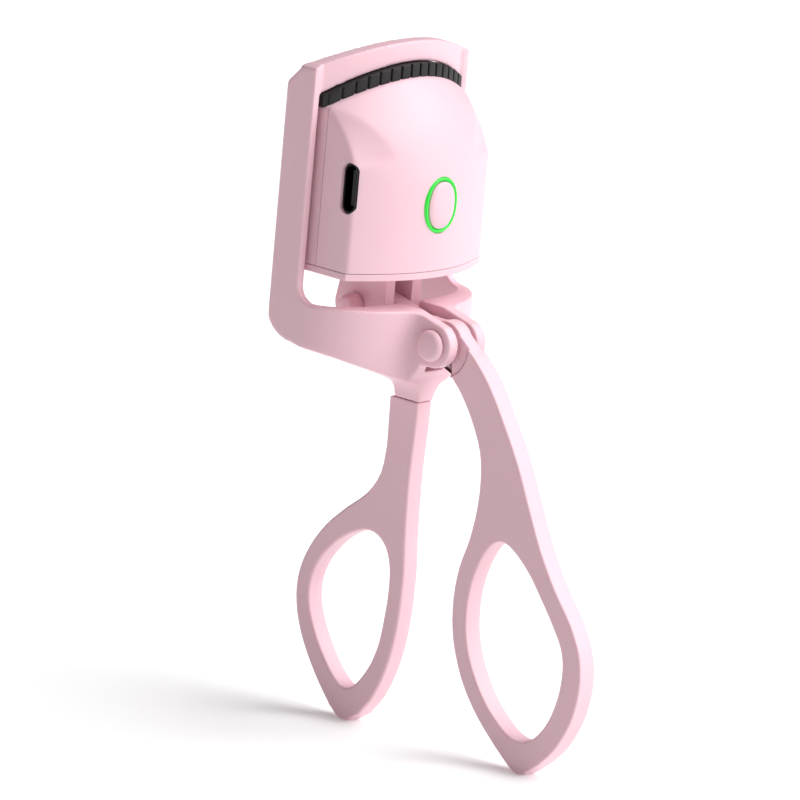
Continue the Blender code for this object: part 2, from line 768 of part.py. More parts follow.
def usb_c_socket():
    wall = 0.25
    left = -head_half + 0.6
    outer = rounded_slot(port_centre_y, port_z, port_depth - 0.3, port_width - 0.3)
    socket = plate("usb_c_socket", [outer], left, left + 6.8, SIDE, steel())
    inner = rounded_slot(port_centre_y, port_z, port_depth - 0.3 - 2 * wall, port_width - 0.3 - 2 * wall)
    boolean(socket, plate("socket mouth", [inner], left - 1, left + 5.6, SIDE, steel()))
    boolean(socket, box("socket tongue", (left + 0.9, port_centre_y - 0.35, port_z - 3.1),
                        (left + 6.2, port_centre_y + 0.35, port_z + 3.1), steel()), "UNION")
    return socket


def heater():
    def foot(x):
        return ridge(x)[1] + 0.1

    def top(x):
        return bar_foot(x) - comb_gap

    whole = (-comb_half_length, comb_half_length)
    comb = comb_strip("heating_comb", comb_inset, foot, top, comb_thickness, whole, black())
    for ends in comb_tabs():
        boolean(comb, comb_strip("comb tab", comb_inset + comb_tab_inset, lambda x: ridge(x)[1] - comb_tenon,
                                 lambda x: ridge(x)[1] + 0.6, comb_tab_thickness, ends, black(), 6),
                "UNION")
    reach = head_half - head_wall - 2.6
    comb_strip("heating_element", element_inset, lambda x: ridge(x)[1] - comb_tenon - 1.5,
               lambda x: ridge(x)[1] - comb_tenon - 0.3, comb_tab_thickness, (-reach, reach),
               finish("Ceramic heater", (0.8, 0.78, 0.74), 0.5))
    ridge_y, ridge_z = ridge(0.0)
    bead_y, bead_z = ridge_y + 1.4, ridge_z - comb_tenon - 2.6
    rod("thermistor", 0.7, (-1.2, bead_y, bead_z), (1.2, bead_y, bead_z),
        finish("Amber bead", (0.5, 0.2, 0.03), 0.3), 12)


def screws():
    for number, (x, z) in enumerate(screw_places(), 1):
        profile = [(0.0, 5.8), (screw_radius, 5.2), (screw_radius, 0.0), (1.9, 0.0), (1.9, -0.6),
                   (1.5, -0.8), (0.0, -0.8)]
        turned(f"shell_screw_{number}", profile, (x, head_back - 0.8, z), "Y", steel(), 16)


def leads():
    red = finish("Red wire", (0.5, 0.02, 0.02), 0.4)
    dark = finish("Black wire", (0.02, 0.02, 0.02), 0.4)
    for name, x, material in (("heater_lead_left", -8.0, red), ("heater_lead_right", 8.0, dark)):
        y, z = ridge(x)
        rod(name, wire_radius, (x, y + 1.3, main_board_top + 0.4), (x, y + 1.3, z - comb_tenon - 1.8),
            material, 10)
    wire_z = main_board_top + 2 * wire_radius
    for name, x, material in (("battery_lead_plus", -3.0, red), ("battery_lead_minus", 3.0, dark)):
        rod(name, wire_radius, (x, main_board_y + 0.2, wire_z),
            (x, main_board_y + battery_thickness, wire_z), material, 10)


def centre_depth():
    """Moves everything along Y so that the two loops reach equally far in front and behind."""
    front = min(y for y, z in smooth(drawn(FRONT_OUTER), False))
    back = max(y for y, z in smooth(drawn(REAR_BACK), False))
    for obj in list(curler.objects) + list(cutters.objects):
        obj.location.y -= (front + back) / 2 * MM


clamp_frame()
rear_handle()
front_handle()
pin("hinge_pin", 0.0, hinge_height, hinge_pin_radius, hinge_head_radius, hinge_head_height,
    ear_outer, pink())
pin_cap("hinge_pin_cap", 0.0, hinge_height, hinge_pin_radius, hinge_head_radius, hinge_head_height,
        ear_outer, pink())
pin("link_pin", link_reach, link_z, link_pin_radius, link_head_radius, link_head_height, lug_outer, pink())
pin_cap("link_pin_cap", link_reach, link_z, link_pin_radius, link_head_radius, link_head_height,
        lug_outer, pink())
head_front_shell()
head_rear_shell()
head_base_cap()
power_button()
light_ring()
electronics()
usb_c_socket()
heater()
screws()
leads()
centre_depth()
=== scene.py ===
import json
import math

import bmesh
import bpy
from mathutils import Matrix, Vector

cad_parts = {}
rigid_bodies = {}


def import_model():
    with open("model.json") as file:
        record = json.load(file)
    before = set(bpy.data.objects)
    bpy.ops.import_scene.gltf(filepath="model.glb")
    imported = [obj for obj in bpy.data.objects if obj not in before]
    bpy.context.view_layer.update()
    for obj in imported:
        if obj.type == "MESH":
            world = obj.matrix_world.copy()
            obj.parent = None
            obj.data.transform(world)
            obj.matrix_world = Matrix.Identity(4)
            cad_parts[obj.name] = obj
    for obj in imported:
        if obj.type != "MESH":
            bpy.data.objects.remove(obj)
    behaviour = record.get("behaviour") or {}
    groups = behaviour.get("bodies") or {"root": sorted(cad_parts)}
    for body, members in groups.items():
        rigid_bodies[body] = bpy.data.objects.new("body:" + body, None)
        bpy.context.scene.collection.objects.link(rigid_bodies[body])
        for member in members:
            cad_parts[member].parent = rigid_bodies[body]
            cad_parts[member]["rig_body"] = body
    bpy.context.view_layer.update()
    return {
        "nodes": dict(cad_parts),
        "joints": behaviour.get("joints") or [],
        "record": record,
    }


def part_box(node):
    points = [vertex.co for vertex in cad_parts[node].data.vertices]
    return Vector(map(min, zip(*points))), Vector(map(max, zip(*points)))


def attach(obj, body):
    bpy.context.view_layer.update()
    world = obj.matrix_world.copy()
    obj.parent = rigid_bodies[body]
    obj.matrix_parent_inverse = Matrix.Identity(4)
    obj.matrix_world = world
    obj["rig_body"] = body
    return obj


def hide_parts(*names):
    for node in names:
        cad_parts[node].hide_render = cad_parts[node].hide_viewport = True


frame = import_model()
nodes = frame["nodes"]
mm = 0.001
mergeDistance = 0.004 * mm
hinge = next(j for j in frame["joints"] if j["name"] == "handle_hinge")
hingeY, hingeZ = hinge["pos_m"][1], hinge["pos_m"][2]
print("frame loaded:", len(nodes), "nodes")


def newMaterial(name, colour, roughness, **fixed):
    material = bpy.data.materials.new(name)
    material.use_nodes = True
    shader = material.node_tree.nodes["Principled BSDF"]
    shader.inputs["Base Color"].default_value = (*colour, 1)
    shader.inputs["Roughness"].default_value = roughness
    for socket, value in fixed.items():
        shader.inputs[socket.replace("_", " ")].default_value = value
    return material, material.node_tree, shader


def place(tree, kind, x, y, **values):
    node = tree.nodes.new(kind)
    node.location = (x, y)
    for key, value in values.items():
        setattr(node, key, value)
    return node


def mouldGrain():
    # fine spark-eroded skin of a moulded plastic part, and the faint cloudiness of its colour
    group = bpy.data.node_groups.new("Mould grain", "ShaderNodeTree")
    for name, start in (("Colour", (0.8, 0.6, 0.6, 1)), ("Deep Colour", (0.7, 0.5, 0.5, 1))):
        socket = group.interface.new_socket(name, in_out="INPUT", socket_type="NodeSocketColor")
        socket.default_value = start
    for name, start in (("Grain Scale", 2600), ("Grain Depth", 0.05), ("Roughness", 0.35), ("Spread", 0.08)):
        socket = group.interface.new_socket(name, in_out="INPUT", socket_type="NodeSocketFloat")
        socket.default_value = start
    group.interface.new_socket("Colour", in_out="OUTPUT", socket_type="NodeSocketColor")
    group.interface.new_socket("Roughness", in_out="OUTPUT", socket_type="NodeSocketFloat")
    group.interface.new_socket("Normal", in_out="OUTPUT", socket_type="NodeSocketVector")
    link = group.links.new
    given = place(group, "NodeGroupInput", -900, 0)
    put = place(group, "NodeGroupOutput", 600, 0)
    where = place(group, "ShaderNodeTexCoord", -900, -300)
    grain = place(group, "ShaderNodeTexNoise", -600, -250)
    grain.inputs["Detail"].default_value = 3
    link(where.outputs["Object"], grain.inputs["Vector"])
    link(given.outputs["Grain Scale"], grain.inputs["Scale"])
    cloud = place(group, "ShaderNodeTexNoise", -600, 200)
    cloud.inputs["Scale"].default_value = 45
    cloud.inputs["Detail"].default_value = 4
    link(where.outputs["Object"], cloud.inputs["Vector"])
    tint = place(group, "ShaderNodeMix", 0, 250, data_type="RGBA")
    link(cloud.outputs["Fac"], tint.inputs["Factor"])
    link(given.outputs["Colour"], tint.inputs[6])
    link(given.outputs["Deep Colour"], tint.inputs[7])
    link(tint.outputs[2], put.inputs["Colour"])
    swing = place(group, "ShaderNodeMath", -300, -50, operation="MULTIPLY_ADD")
    centred = place(group, "ShaderNodeMath", -450, -50, operation="SUBTRACT")
    centred.inputs[1].default_value = 0.5
    link(grain.outputs["Fac"], centred.inputs[0])
    link(centred.outputs[0], swing.inputs[0])
    link(given.outputs["Spread"], swing.inputs[1])
    link(given.outputs["Roughness"], swing.inputs[2])
    link(swing.outputs[0], put.inputs["Roughness"])
    bump = place(group, "ShaderNodeBump", 200, -250)
    bump.inputs["Distance"].default_value = 0.0001
    link(given.outputs["Grain Depth"], bump.inputs["Strength"])
    link(grain.outputs["Fac"], bump.inputs["Height"])
    link(bump.outputs["Normal"], put.inputs["Normal"])
    return group


grainGroup = mouldGrain()


def mouldedPlastic(name, colour, deepColour, roughness, scale=2600, depth=0.06, spread=0.1, **fixed):
    material, tree, shader = newMaterial(name, colour, roughness, **fixed)
    grain = place(tree, "ShaderNodeGroup", -350, 0)
    grain.node_tree = grainGroup
    grain.inputs["Colour"].default_value = (*colour, 1)
    grain.inputs["Deep Colour"].default_value = (*deepColour, 1)
    grain.inputs["Grain Scale"].default_value = scale
    grain.inputs["Grain Depth"].default_value = depth
    grain.inputs["Roughness"].default_value = roughness
    grain.inputs["Spread"].default_value = spread
    tree.links.new(grain.outputs["Colour"], shader.inputs["Base Color"])
    tree.links.new(grain.outputs["Roughness"], shader.inputs["Roughness"])
    tree.links.new(grain.outputs["Normal"], shader.inputs["Normal"])
    return material


satin = dict(colour=(0.83, 0.55, 0.615), deepColour=(0.80, 0.52, 0.588), roughness=0.43)
pinkPlastic = mouldedPlastic("Satin pink plastic", **satin, Specular_IOR_Level=0.4, Coat_Weight=0.08,
                             Coat_Roughness=0.4, Subsurface_Weight=0.12, Subsurface_Scale=0.0012)
blackPlastic = mouldedPlastic("Heat-proof black plastic", (0.012, 0.011, 0.012),
                              (0.02, 0.018, 0.018), 0.5, scale=3400, depth=0.12, Specular_IOR_Level=0.3)
steelFinish = mouldedPlastic("Drawn steel", (0.6, 0.59, 0.58), (0.5, 0.49, 0.48), 0.24,
                             scale=4200, depth=0.04, Metallic=1.0)
boardFinish = mouldedPlastic("Green board lacquer", (0.02, 0.16, 0.06), (0.015, 0.11, 0.045), 0.3, scale=900)
cellFinish = mouldedPlastic("Cell wrap", (0.5, 0.52, 0.55), (0.42, 0.44, 0.47), 0.32,
                            scale=300, Metallic=0.7)
redFlex = mouldedPlastic("Red flex", (0.45, 0.02, 0.02), (0.36, 0.015, 0.015), 0.38)
blackFlex = mouldedPlastic("Black flex", (0.015, 0.015, 0.015), (0.025, 0.025, 0.025), 0.4)
ceramic = mouldedPlastic("Heater ceramic", (0.75, 0.72, 0.68), (0.66, 0.63, 0.58), 0.55,
                         scale=1200, depth=0.2)
amber = mouldedPlastic("Amber bead", (0.5, 0.2, 0.03), (0.4, 0.14, 0.02), 0.15)
glowGreen = mouldedPlastic("Lit green ring", (0.02, 0.5, 0.04), (0.015, 0.42, 0.03), 0.3,
                           Emission_Color=(0.03, 0.62, 0.05, 1), Emission_Strength=0.6)
portSteel = mouldedPlastic("Dark port steel", (0.05, 0.05, 0.052), (0.035, 0.035, 0.037), 0.4, Metallic=1.0)
finishes = {"pink": pinkPlastic, "black": blackPlastic, "steel": steelFinish, "board": boardFinish,
            "cell": cellFinish, "red_wire": redFlex, "black_wire": blackFlex, "ceramic": ceramic,
            "amber": amber, "light": glowGreen}
slotOf = {part["node"]: part["material_slot"] for part in frame["record"]["subparts"]}
for name, node in nodes.items():
    node.data.materials.clear()
    node.data.materials.append(finishes[slotOf[name]])
nodes["usb_c_socket"].data.materials[0] = portSteel
print("materials:", len(finishes) + 1)


def at(x, y, z):
    # millimetres across, behind the hinge axis and above the floor
    return Vector((x * mm, hingeY + y * mm, z * mm))


def blendTo(a, b, share):
    return a + (b - a) * share


def addPiece(name, work, slot, body, replaced=(), smoothAngle=35):
    mesh = bpy.data.meshes.new(name)
    work.to_mesh(mesh)
    work.free()
    mesh.materials.append(finishes[slot])
    mesh.shade_smooth()
    mesh.set_sharp_from_angle(angle=math.radians(smoothAngle))
    obj = bpy.data.objects.new(name, mesh)
    bpy.context.scene.collection.objects.link(obj)
    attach(obj, body)
    if replaced:
        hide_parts(*replaced)
    return obj


def roundEdges(obj, width, segments=3, angle=32):
    bevel = obj.modifiers.new("Edge rounding", "BEVEL")
    bevel.width = width * mm
    bevel.segments = segments
    bevel.limit_method = "ANGLE"
    bevel.angle_limit = math.radians(angle)
    bevel.use_clamp_overlap = False
    bevel.harden_normals = True
    return obj


def settle(obj):
    # the modifiers become the mesh
    graph = bpy.context.evaluated_depsgraph_get()
    mesh = bpy.data.meshes.new_from_object(obj.evaluated_get(graph))
    obj.modifiers.clear()
    obj.data = mesh
    return obj


def carve(obj, work, operation="DIFFERENCE"):
    # cuts, joins or trims a piece with the shape in a bmesh
    mesh = bpy.data.meshes.new("tool")
    bmesh.ops.recalc_face_normals(work, faces=work.faces)
    work.to_mesh(mesh)
    work.free()
    tool = bpy.data.objects.new("tool", mesh)
    bpy.context.scene.collection.objects.link(tool)
    cut = obj.modifiers.new("Cut", "BOOLEAN")
    cut.operation = operation
    cut.solver = "EXACT"
    cut.object = tool
    settle(obj)
    bpy.data.objects.remove(tool, do_unlink=True)
    return obj


def dropCrumbs(obj):
    # only the largest connected part of a mesh stays
    work = bmesh.new()
    work.from_mesh(obj.data)
    bmesh.ops.remove_doubles(work, verts=work.verts, dist=mergeDistance)
    bmesh.ops.dissolve_degenerate(work, edges=work.edges, dist=mergeDistance)
    left, islands = set(work.verts), []
    while left:
        waiting, island = [left.pop()], []
        while waiting:
            vert = waiting.pop()
            island.append(vert)
            for edge in vert.link_edges:
                other = edge.other_vert(vert)
                if other in left:
                    left.remove(other)
                    waiting.append(other)
        islands.append(island)
    islands.sort(key=len)
    bmesh.ops.delete(work, geom=[vert for island in islands[:-1] for vert in island], context="VERTS")
    work.to_mesh(obj.data)
    work.free()
    return obj


def block(low, high):
    work = bmesh.new()
    middle = (low + high) / 2
    size = high - low
    bmesh.ops.create_cube(work, size=1,
                          matrix=Matrix.Translation(middle) @ Matrix.Diagonal((*size, 1)))
    return work


def ovalBlock(centre, halfWide, halfHigh, lowY, highY, segments=48):
    # an upright oval prism that runs along Y
    work = bmesh.new()
    bmesh.ops.create_cone(work, cap_ends=True, segments=segments, radius1=1, radius2=1, depth=1)
    bmesh.ops.transform(work, matrix=Matrix.Rotation(math.radians(90), 4, "X"), verts=work.verts)
    bmesh.ops.scale(work, vec=(halfWide, highY - lowY, halfHigh), verts=work.verts)
    bmesh.ops.translate(work, vec=(centre[0], (lowY + highY) / 2, centre[1]), verts=work.verts)
    return work


def slotBlock(centreY, centreZ, deep, high, lowX, highX):
    # an upright slot with round ends that runs along X
    work = bmesh.new()
    bmesh.ops.create_cone(work, cap_ends=True, segments=40, radius1=deep / 2, radius2=deep / 2,
                          depth=highX - lowX)
    bmesh.ops.rotate(work, matrix=Matrix.Rotation(math.radians(90), 3, "Y"), verts=work.verts)
    for vert in work.verts:
        vert.co.z += math.copysign(high / 2 - deep / 2, vert.co.z) if abs(vert.co.z) > 1e-7 else 0
    bmesh.ops.translate(work, vec=((lowX + highX) / 2, centreY, centreZ), verts=work.verts)
    return work


def bentGrid(work, across, along, shape):
    # a grid whose every corner goes where shape(column, row) says
    for vert in bmesh.ops.create_grid(work, x_segments=across, y_segments=along, size=0.5)["verts"]:
        vert.co = shape(round((vert.co.x + 0.5) * across), round((vert.co.y + 0.5) * along))


def bentBar(work, cuts, shape):
    # a square bar along X, cut into stations, whose every corner goes where shape(x, y, z) says
    bmesh.ops.create_cube(work, size=1)
    long = [edge for edge in work.edges if abs(edge.verts[0].co.x - edge.verts[1].co.x) > 0.5]
    bmesh.ops.subdivide_edges(work, edges=long, cuts=cuts, use_grid_fill=True)
    for vert in work.verts:
        vert.co = shape(*vert.co)


def cleanCopy(nodeName, flat=0.6):
    work = bmesh.new()
    work.from_mesh(nodes[nodeName].data)
    bmesh.ops.remove_doubles(work, verts=work.verts, dist=mergeDistance)
    if flat:
        bmesh.ops.dissolve_limit(work, angle_limit=math.radians(flat), verts=work.verts,
                                 edges=work.edges, use_dissolve_boundaries=False)
    return work


def softenedPart(nodeName, name, width, angle=32, segments=3):
    body = nodes[nodeName]["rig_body"]
    obj = addPiece(name, cleanCopy(nodeName), slotOf[nodeName], body, (nodeName,))
    return roundEdges(obj, width, segments, angle)


def melt(obj, voxel, passes):
    # every edge and inside corner flows together, as in one moulding
    remesh = obj.modifiers.new("Even mesh", "REMESH")
    remesh.mode = "VOXEL"
    remesh.voxel_size = voxel * mm
    remesh.use_smooth_shade = True
    flow = obj.modifiers.new("Flow", "SMOOTH")
    flow.factor = 0.5
    flow.iterations = passes
    return obj


def turnedAcross(radius, lowX, highX, centreY, centreZ, segments=64):
    # a round block that lies along X
    work = bmesh.new()
    middle = Matrix.Translation(((lowX + highX) / 2, centreY, centreZ))
    bmesh.ops.create_cone(work, cap_ends=True, segments=segments, radius1=radius, radius2=radius,
                          depth=highX - lowX, matrix=middle @ Matrix.Rotation(math.radians(90), 4, "Y"))
    return work


def moltenPart(nodeName, name, voxel, passes):
    body = nodes[nodeName]["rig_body"]
    obj = addPiece(name, cleanCopy(nodeName, 0), slotOf[nodeName], body, (nodeName,))
    return melt(obj, voxel, passes)


moltenPart("clamp_frame", "clampFrame", 0.25, 7)
softenedPart("rear_handle", "rearHandle", 0.5)


earPocket = {"radius": 5.6, "depth": 0.4, "handleHalf": 1.9}


def frontHandlePiece():
    # the lever is thinner where it turns between the ears
    obj = addPiece("frontHandle", cleanCopy("front_handle"), "pink", "finger_lever", ("front_handle",))
    inner = earPocket["handleHalf"] - earPocket["depth"]
    for side in (-1, 1):
        low, high = sorted((side * inner * mm, side * (inner + 2) * mm))
        carve(obj, turnedAcross(earPocket["radius"] * mm, low, high, hingeY, hingeZ))
    return roundEdges(obj, 0.35)


frontHandlePiece()
softenedPart("hinge_pin", "hingePin", 0.25)
softenedPart("hinge_pin_cap", "hingePinCap", 0.25)
softenedPart("link_pin", "linkPin", 0.25)
softenedPart("link_pin_cap", "linkPinCap", 0.25)
print("frame and handles made")


frontLow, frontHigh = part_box("head_front_shell")
headForm = {
    "half": frontHigh.x / mm,
    "foot": frontLow.z / mm,
    "frontY": 4.95, "bulge": 5.3, "backY": 23.4,
    "startZ": 97.0, "startRise": 3.5,
    "ridgeY": 13.2, "ridgeBulge": 4.5, "ridgeZ": 114.4, "ridgeDrop": 4.5,
    "lean": 0.4, "fullness": 0.62,
    "creaseX": 9.4, "creaseShare": 0.23,
    "edge": ((10.25, 99.6), (11.4, 104.4), (17.7, 109.9)),
    "seat": 3.6, "backDrop": 3.0,
    "sideCuts": 6, "facetCuts": 6, "frontCuts": 32, "lowRows": 8, "hoodRows": 18,
    "spare": 1.2, "wall": 1.6, "splitY": 17.4, "seam": 0.05, "voxel": 0.28, "flowPasses": 30,
    "cutHalf": 25, "cutTop": 130, "cutBack": 40,
}


def headFront(x):
    return headForm["frontY"] + headForm["bulge"] * (x / headForm["half"]) ** 2


def ridgeAt(x):
    share = (x / headForm["half"]) ** 2
    return Vector((x, headForm["ridgeY"] + headForm["ridgeBulge"] * share,
                   headForm["ridgeZ"] - headForm["ridgeDrop"] * share))


def bend(start, corner, end, t):
    return start * (1 - t) ** 2 + corner * (2 * t * (1 - t)) + end * t ** 2


def hoodPoint(x, t):
    form = headForm
    y = headFront(x)
    start = Vector((x, y, form["startZ"] + form["startRise"] * (x / form["half"]) ** 2))
    ridge = ridgeAt(x)
    corner = Vector((x, y + form["lean"], start.z + (ridge.z - start.z) * form["fullness"]))
    return bend(start, corner, ridge, t)


def edgePoint(t):
    start, corner, end = (Vector((headForm["half"], *point)) for point in headForm["edge"])
    return bend(start, corner, end, t)


def creaseAt(t):
    # how far out the front face reaches before the shoulder facet takes over
    half, inner, share = headForm["half"], headForm["creaseX"], headForm["creaseShare"]
    if t < share:
        return half - (half - inner) * t / share
    return inner + (half - inner) * (t - share) / (1 - share)


def topEdge(x, share):
    # the top behind the ridge: a flat seat for the comb, then a fall to the back
    ridge = ridgeAt(x)
    y = blendTo(ridge.y, headForm["backY"], share)
    past = max(0, y - ridge.y - headForm["seat"])
    run = headForm["backY"] - ridge.y - headForm["seat"]
    return Vector((x, y, ridge.z - headForm["backDrop"] * past / run))


def wallPoint(column, t):
    # one point of the loop from the back left corner round the front, at x >= 0 by mirroring
    form = headForm
    total = 2 * (form["sideCuts"] + form["facetCuts"]) + form["frontCuts"]
    side = 1 if column > total / 2 else -1
    k = total - column if side > 0 else column
    if k <= form["sideCuts"]:
        share = 1 - k / form["sideCuts"]
        edge = edgePoint(t)
        corner = Vector((edge.x, form["backY"], blendTo(form["edge"][0][1], topEdge(edge.x, 1).z, t)))
        point = blendTo(edge, corner, share)
        point.z += t * (topEdge(edge.x, share).z - blendTo(edgePoint(1).z, topEdge(edge.x, 1).z, share))
    elif k < form["sideCuts"] + form["facetCuts"]:
        share = (k - form["sideCuts"]) / form["facetCuts"]
        crease = creaseAt(t)
        point = blendTo(edgePoint(t), hoodPoint(crease, t), share)
        if t == 0:
            point = hoodPoint(blendTo(form["half"], crease, share), 0)
    else:
        share = (k - form["sideCuts"] - form["facetCuts"]) / (form["frontCuts"] / 2)
        point = hoodPoint(creaseAt(t) * (1 - share), t)
    point.x *= side
    return point


def headSkin():
    form = headForm
    work = bmesh.new()
    columns = 2 * (form["sideCuts"] + form["facetCuts"]) + form["frontCuts"]
    rows = form["lowRows"] + form["hoodRows"]

    def rowOf(j):
        return max(0, j - form["lowRows"]) / form["hoodRows"], min(1, j / form["lowRows"])

    def wall(k, j):
        t, rise = rowOf(j)
        point = wallPoint(k, t)
        point.z = blendTo(form["foot"] - form["spare"], point.z, rise)
        return at(*point)

    def back(k, j):
        t, rise = rowOf(j)
        x = wallPoint(k + form["sideCuts"], 1).x
        low = form["edge"][0][1]
        high = blendTo(low, topEdge(abs(x), 1).z, t)
        return at(x, form["backY"], blendTo(form["foot"] - form["spare"], high, rise))

    def top(k, j):
        return at(*topEdge(wallPoint(k + form["sideCuts"], 1).x, j / form["sideCuts"]))

    bentGrid(work, columns, rows, wall)
    bentGrid(work, columns - 2 * form["sideCuts"], rows, back)
    bentGrid(work, columns - 2 * form["sideCuts"], form["sideCuts"], top)
    bmesh.ops.remove_doubles(work, verts=work.verts, dist=0.005 * mm)
    bmesh.ops.dissolve_degenerate(work, edges=work.edges, dist=mergeDistance)
    closeAndTurnOut(work)
    return work


def closeAndTurnOut(work):
    # closed for a moment underneath, so that outwards is certain
    rim = [edge for edge in work.edges if edge.is_boundary]
    floor = bmesh.ops.holes_fill(work, edges=rim)["faces"]
    bmesh.ops.recalc_face_normals(work, faces=work.faces)
    bmesh.ops.delete(work, geom=floor, context="FACES_ONLY")


def headShell(name, node, lowY, highY):
    # melted whole and cut afterwards, so that the seams stay crisp
    shell = addPiece(name, headSkin(), "pink", "head", (node,))
    wall = shell.modifiers.new("Wall", "SOLIDIFY")
    wall.thickness = headForm["wall"] * mm
    wall.offset = -1
    wall.use_even_offset = True
    dropCrumbs(settle(melt(shell, headForm["voxel"], headForm["flowPasses"])))
    half = headForm["cutHalf"]
    kept = block(at(-half, lowY, headForm["foot"]), at(half, highY, headForm["cutTop"]))
    return carve(shell, kept, "INTERSECT")


buttonLow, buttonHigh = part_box("light_ring")
buttonMiddle = (buttonLow + buttonHigh) / 2
ringHalf = (buttonHigh - buttonLow) / 2
port = {"y": 11.4, "z": 96.8, "deep": 3.3, "high": 9.0, "reach": 4}
buttonHole = {"gap": 0.1, "before": 4, "behind": 6}
front = headShell("headFrontShell", "head_front_shell", 0, headForm["splitY"] - headForm["seam"])
carve(front, ovalBlock((buttonMiddle.x, buttonMiddle.z),
                       ringHalf.x + buttonHole["gap"] * mm, ringHalf.z + buttonHole["gap"] * mm,
                       buttonLow.y - buttonHole["before"] * mm, buttonHigh.y + buttonHole["behind"] * mm))
carve(front, slotBlock(hingeY + port["y"] * mm, port["z"] * mm, port["deep"] * mm, port["high"] * mm,
                       frontLow.x - mm, frontLow.x + port["reach"] * mm))
rear = headShell("headRearShell", "head_rear_shell", headForm["splitY"] + headForm["seam"],
                 headForm["cutBack"])
screw = {"recess": 2.2, "recessDepth": 0.9, "hole": 1.3, "holeDepth": 8,
         "slotHalf": 1.0, "slotThick": 0.2, "slotDepth": 0.45}


def shellScrew(name):
    # a pan-head screw with a cross recess, and the pocket that it sits in
    low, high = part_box(name)
    middle = (low + high) / 2
    for radius, depth in ((screw["recess"], screw["recessDepth"]), (screw["hole"], screw["holeDepth"])):
        carve(rear, ovalBlock((middle.x, middle.z), radius * mm, radius * mm, high.y - depth * mm,
                              high.y + mm, segments=32))
    obj = addPiece(name.replace("shell_screw_", "shellScrew"), cleanCopy(name), "steel", "head", (name,))
    long, thin = screw["slotHalf"] * mm, screw["slotThick"] * mm
    for across, up in ((long, thin), (thin, long)):
        carve(obj, block(Vector((middle.x - across, high.y - screw["slotDepth"] * mm, middle.z - up)),
                         Vector((middle.x + across, high.y + mm, middle.z + up))))
    roundEdges(obj, 0.08, 2)


for name in sorted(nodes):
    if name.startswith("shell_screw_"):
        shellScrew(name)
for shell in (front, rear):
    dropCrumbs(shell)
    shell.data.shade_smooth()
    shell.data.set_sharp_from_angle(angle=math.radians(40))
softenedPart("head_base_cap", "headBaseCap", 0.12)
print("head shells made")


comb = {"half": 17.35, "inset": 0.2, "thickness": 3.0, "sunk": 0.15, "gap": 0.14,
        "teeth": 15, "pitch": 2.24, "toothWidth": 1.86, "toothDepth": 0.5, "toothRound": 0.2, "stations": 48,
        "barFoot": 116.85, "barDrop": 6.2, "barHalf": 19.4}


def combPoint(x, deep, rise):
    # a place in the comb, from its front face and from its foot, both as shares
    ridge = ridgeAt(x)
    top = comb["barFoot"] - comb["barDrop"] * (x / comb["barHalf"]) ** 2 - comb["gap"]
    return at(x, ridge.y + comb["inset"] + deep, blendTo(ridge.z - comb["sunk"], top, rise))


def heaterComb():
    work = bmesh.new()
    bentBar(work, comb["stations"], lambda x, y, z: combPoint(
        2 * x * comb["half"], blendTo(comb["toothDepth"] * 0.7, comb["thickness"], y + 0.5), z + 0.5))
    for k in range(comb["teeth"]):
        middle = (k - (comb["teeth"] - 1) / 2) * comb["pitch"]
        tooth = bmesh.ops.create_cube(work, size=1)["verts"]
        for vert in tooth:
            vert.co = combPoint(middle + vert.co.x * comb["toothWidth"],
                                (vert.co.y + 0.5) * comb["toothDepth"], vert.co.z + 0.5)
        edges = list({edge for vert in tooth for edge in vert.link_edges})
        bmesh.ops.bevel(work, geom=edges, offset=comb["toothRound"] * mm, offset_type="OFFSET", segments=4,
                        profile=0.5, affect="EDGES", material=-1)
    bmesh.ops.recalc_face_normals(work, faces=work.faces)
    return addPiece("heaterComb", work, "black", "head", ("heating_comb",), 50)


heaterComb()

light = {"stroke": 0.64, "roundness": 3.0, "fullness": 2.2, "proud": -0.05, "around": 96, "section": 20}
button = {"gap": 0.16, "dome": 0.55, "depth": 1.8, "around": 64, "rings": 12, "stem": 1.1}


def ovalPoint(angle, halfWide, halfHigh, fullness):
    cosine, sine = math.cos(angle), math.sin(angle)
    return Vector((math.copysign(abs(cosine) ** (2 / fullness), cosine) * halfWide, 0,
                   math.copysign(abs(sine) ** (2 / fullness), sine) * halfHigh))


def lightRing():
    # an oval ring of light pipe whose cross-section is a round-cornered box
    work = bmesh.new()
    half = light["stroke"] / 2 * mm
    low, high = buttonLow.y - light["proud"] * mm, buttonHigh.y
    middle = (low + high) / 2

    def shape(k, j):
        section = ovalPoint(2 * math.pi * j / light["section"], half, (high - low) / 2, light["roundness"])
        point = ovalPoint(2 * math.pi * k / light["around"], ringHalf.x - half + section.x,
                          ringHalf.z - half + section.x, light["fullness"])
        return point + Vector((buttonMiddle.x, middle + section.z, buttonMiddle.z))

    bentGrid(work, light["around"], light["section"], shape)
    bmesh.ops.remove_doubles(work, verts=work.verts, dist=0.003 * mm)
    bmesh.ops.recalc_face_normals(work, faces=work.faces)
    return addPiece("lightRing", work, "light", "head", ("light_ring",), 60)


